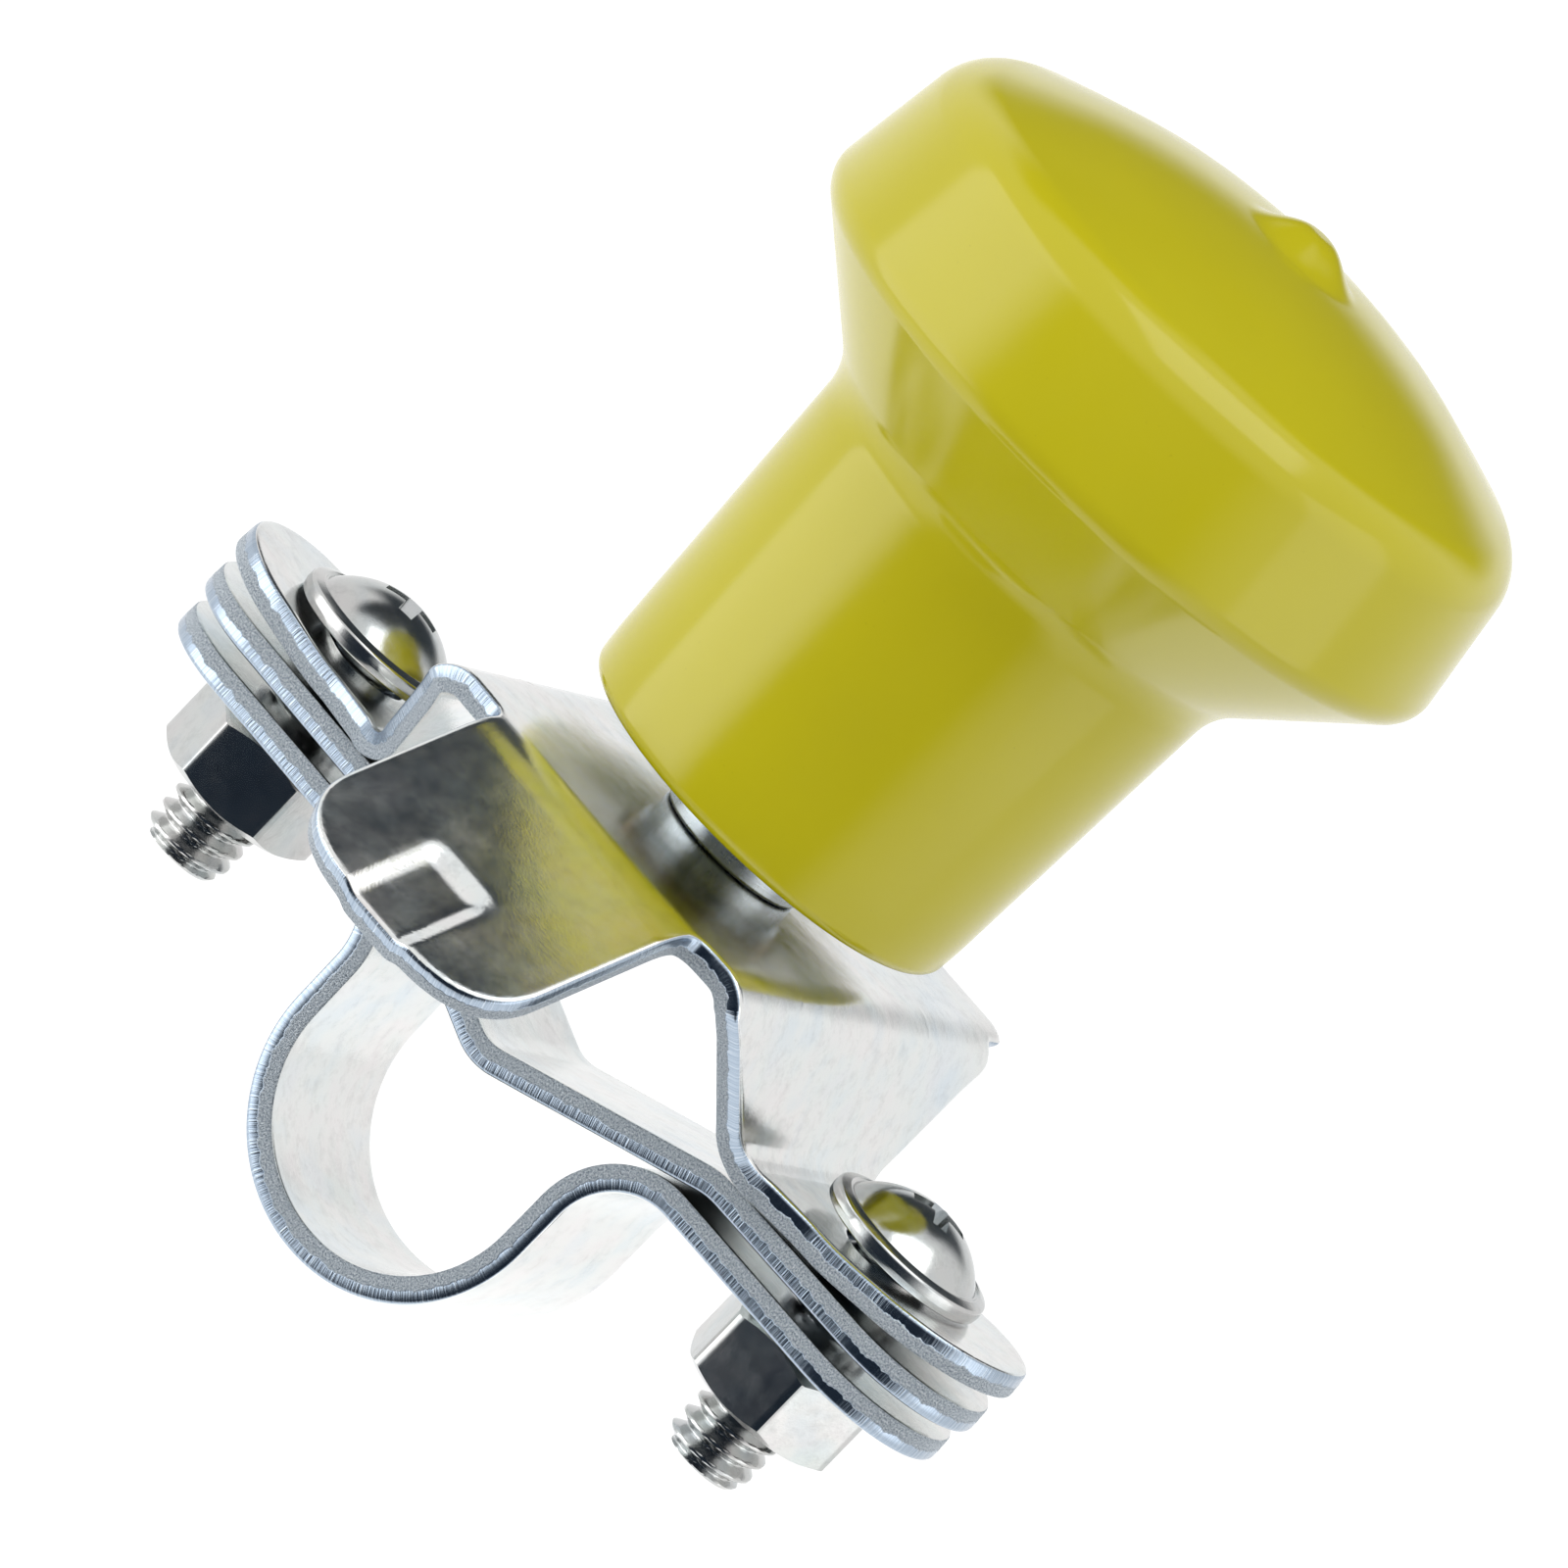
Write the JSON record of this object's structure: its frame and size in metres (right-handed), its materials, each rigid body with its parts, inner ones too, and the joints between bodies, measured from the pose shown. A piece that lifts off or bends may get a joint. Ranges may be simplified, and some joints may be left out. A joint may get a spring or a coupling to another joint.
{
  "type": "steering wheel spinner knob",
  "caption": "Clamp-on steering-wheel spinner knob: mushroom hand knob turning on a spindle, over a stamped steel bracket and vee-and-loop rim clamp with screws and nuts.",
  "frame": {"origin": "centre of the rim opening between the two clamp jaws", "axes": "+Z along the knob's spin axis, from the clamp to the knob; +X from one clamp screw to the other; +Y along the gripped rim, away from the thumb tab"},
  "size_m": [0.0778, 0.064, 0.0932],
  "materials": {
    "zinc_sheet": "bright blue-white zinc plate on stamped steel",
    "zinc_hardware": "bright zinc plate, smooth",
    "spindle_steel": "turned steel, zinc plated",
    "bushing_brass": "turned, oiled",
    "yellow_plastic": "glossy moulded plastic"
  },
  "bodies": {
    "bracket": {"bracket": "zinc_sheet", "upper_jaw": "zinc_sheet", "spindle": "spindle_steel", "thrust_washer": "spindle_steel", "retaining_ring": "spindle_steel", "screw_left": "zinc_hardware", "screw_right": "zinc_hardware"},
    "knob": {"knob": "yellow_plastic", "bushing": "bushing_brass"},
    "lower_jaw": {"lower_jaw": "zinc_sheet"},
    "nut_left": {"nut_left": "zinc_hardware"},
    "nut_right": {"nut_right": "zinc_hardware"}
  },
  "joints": [
    {"name": "knob_spin", "type": "hinge", "parent": "bracket", "child": "knob", "pos_m": [0, 0, 0.0388], "axis": [0, 0, 1], "continuous": true},
    {"name": "lower_jaw_slide", "type": "slide", "parent": "bracket", "child": "lower_jaw", "axis": [0, 0, -1], "range_m": [-0.0002, 0.0048]},
    {"name": "nut_left_turn", "type": "hinge", "parent": "lower_jaw", "child": "nut_left", "pos_m": [-0.0275, 0, 0.0077], "axis": [0, 0, -1], "range_deg": [-58, 1362]},
    {"name": "nut_right_turn", "type": "hinge", "parent": "lower_jaw", "child": "nut_right", "pos_m": [0.0275, 0, 0.0077], "axis": [0, 0, -1], "range_deg": [-58, 1362]}
  ],
  "couplings": [
    {"joint": "nut_left_turn", "follows": "lower_jaw_slide", "rad_per_m": 4947.4},
    {"joint": "nut_right_turn", "follows": "lower_jaw_slide", "rad_per_m": 4947.4}
  ]
}
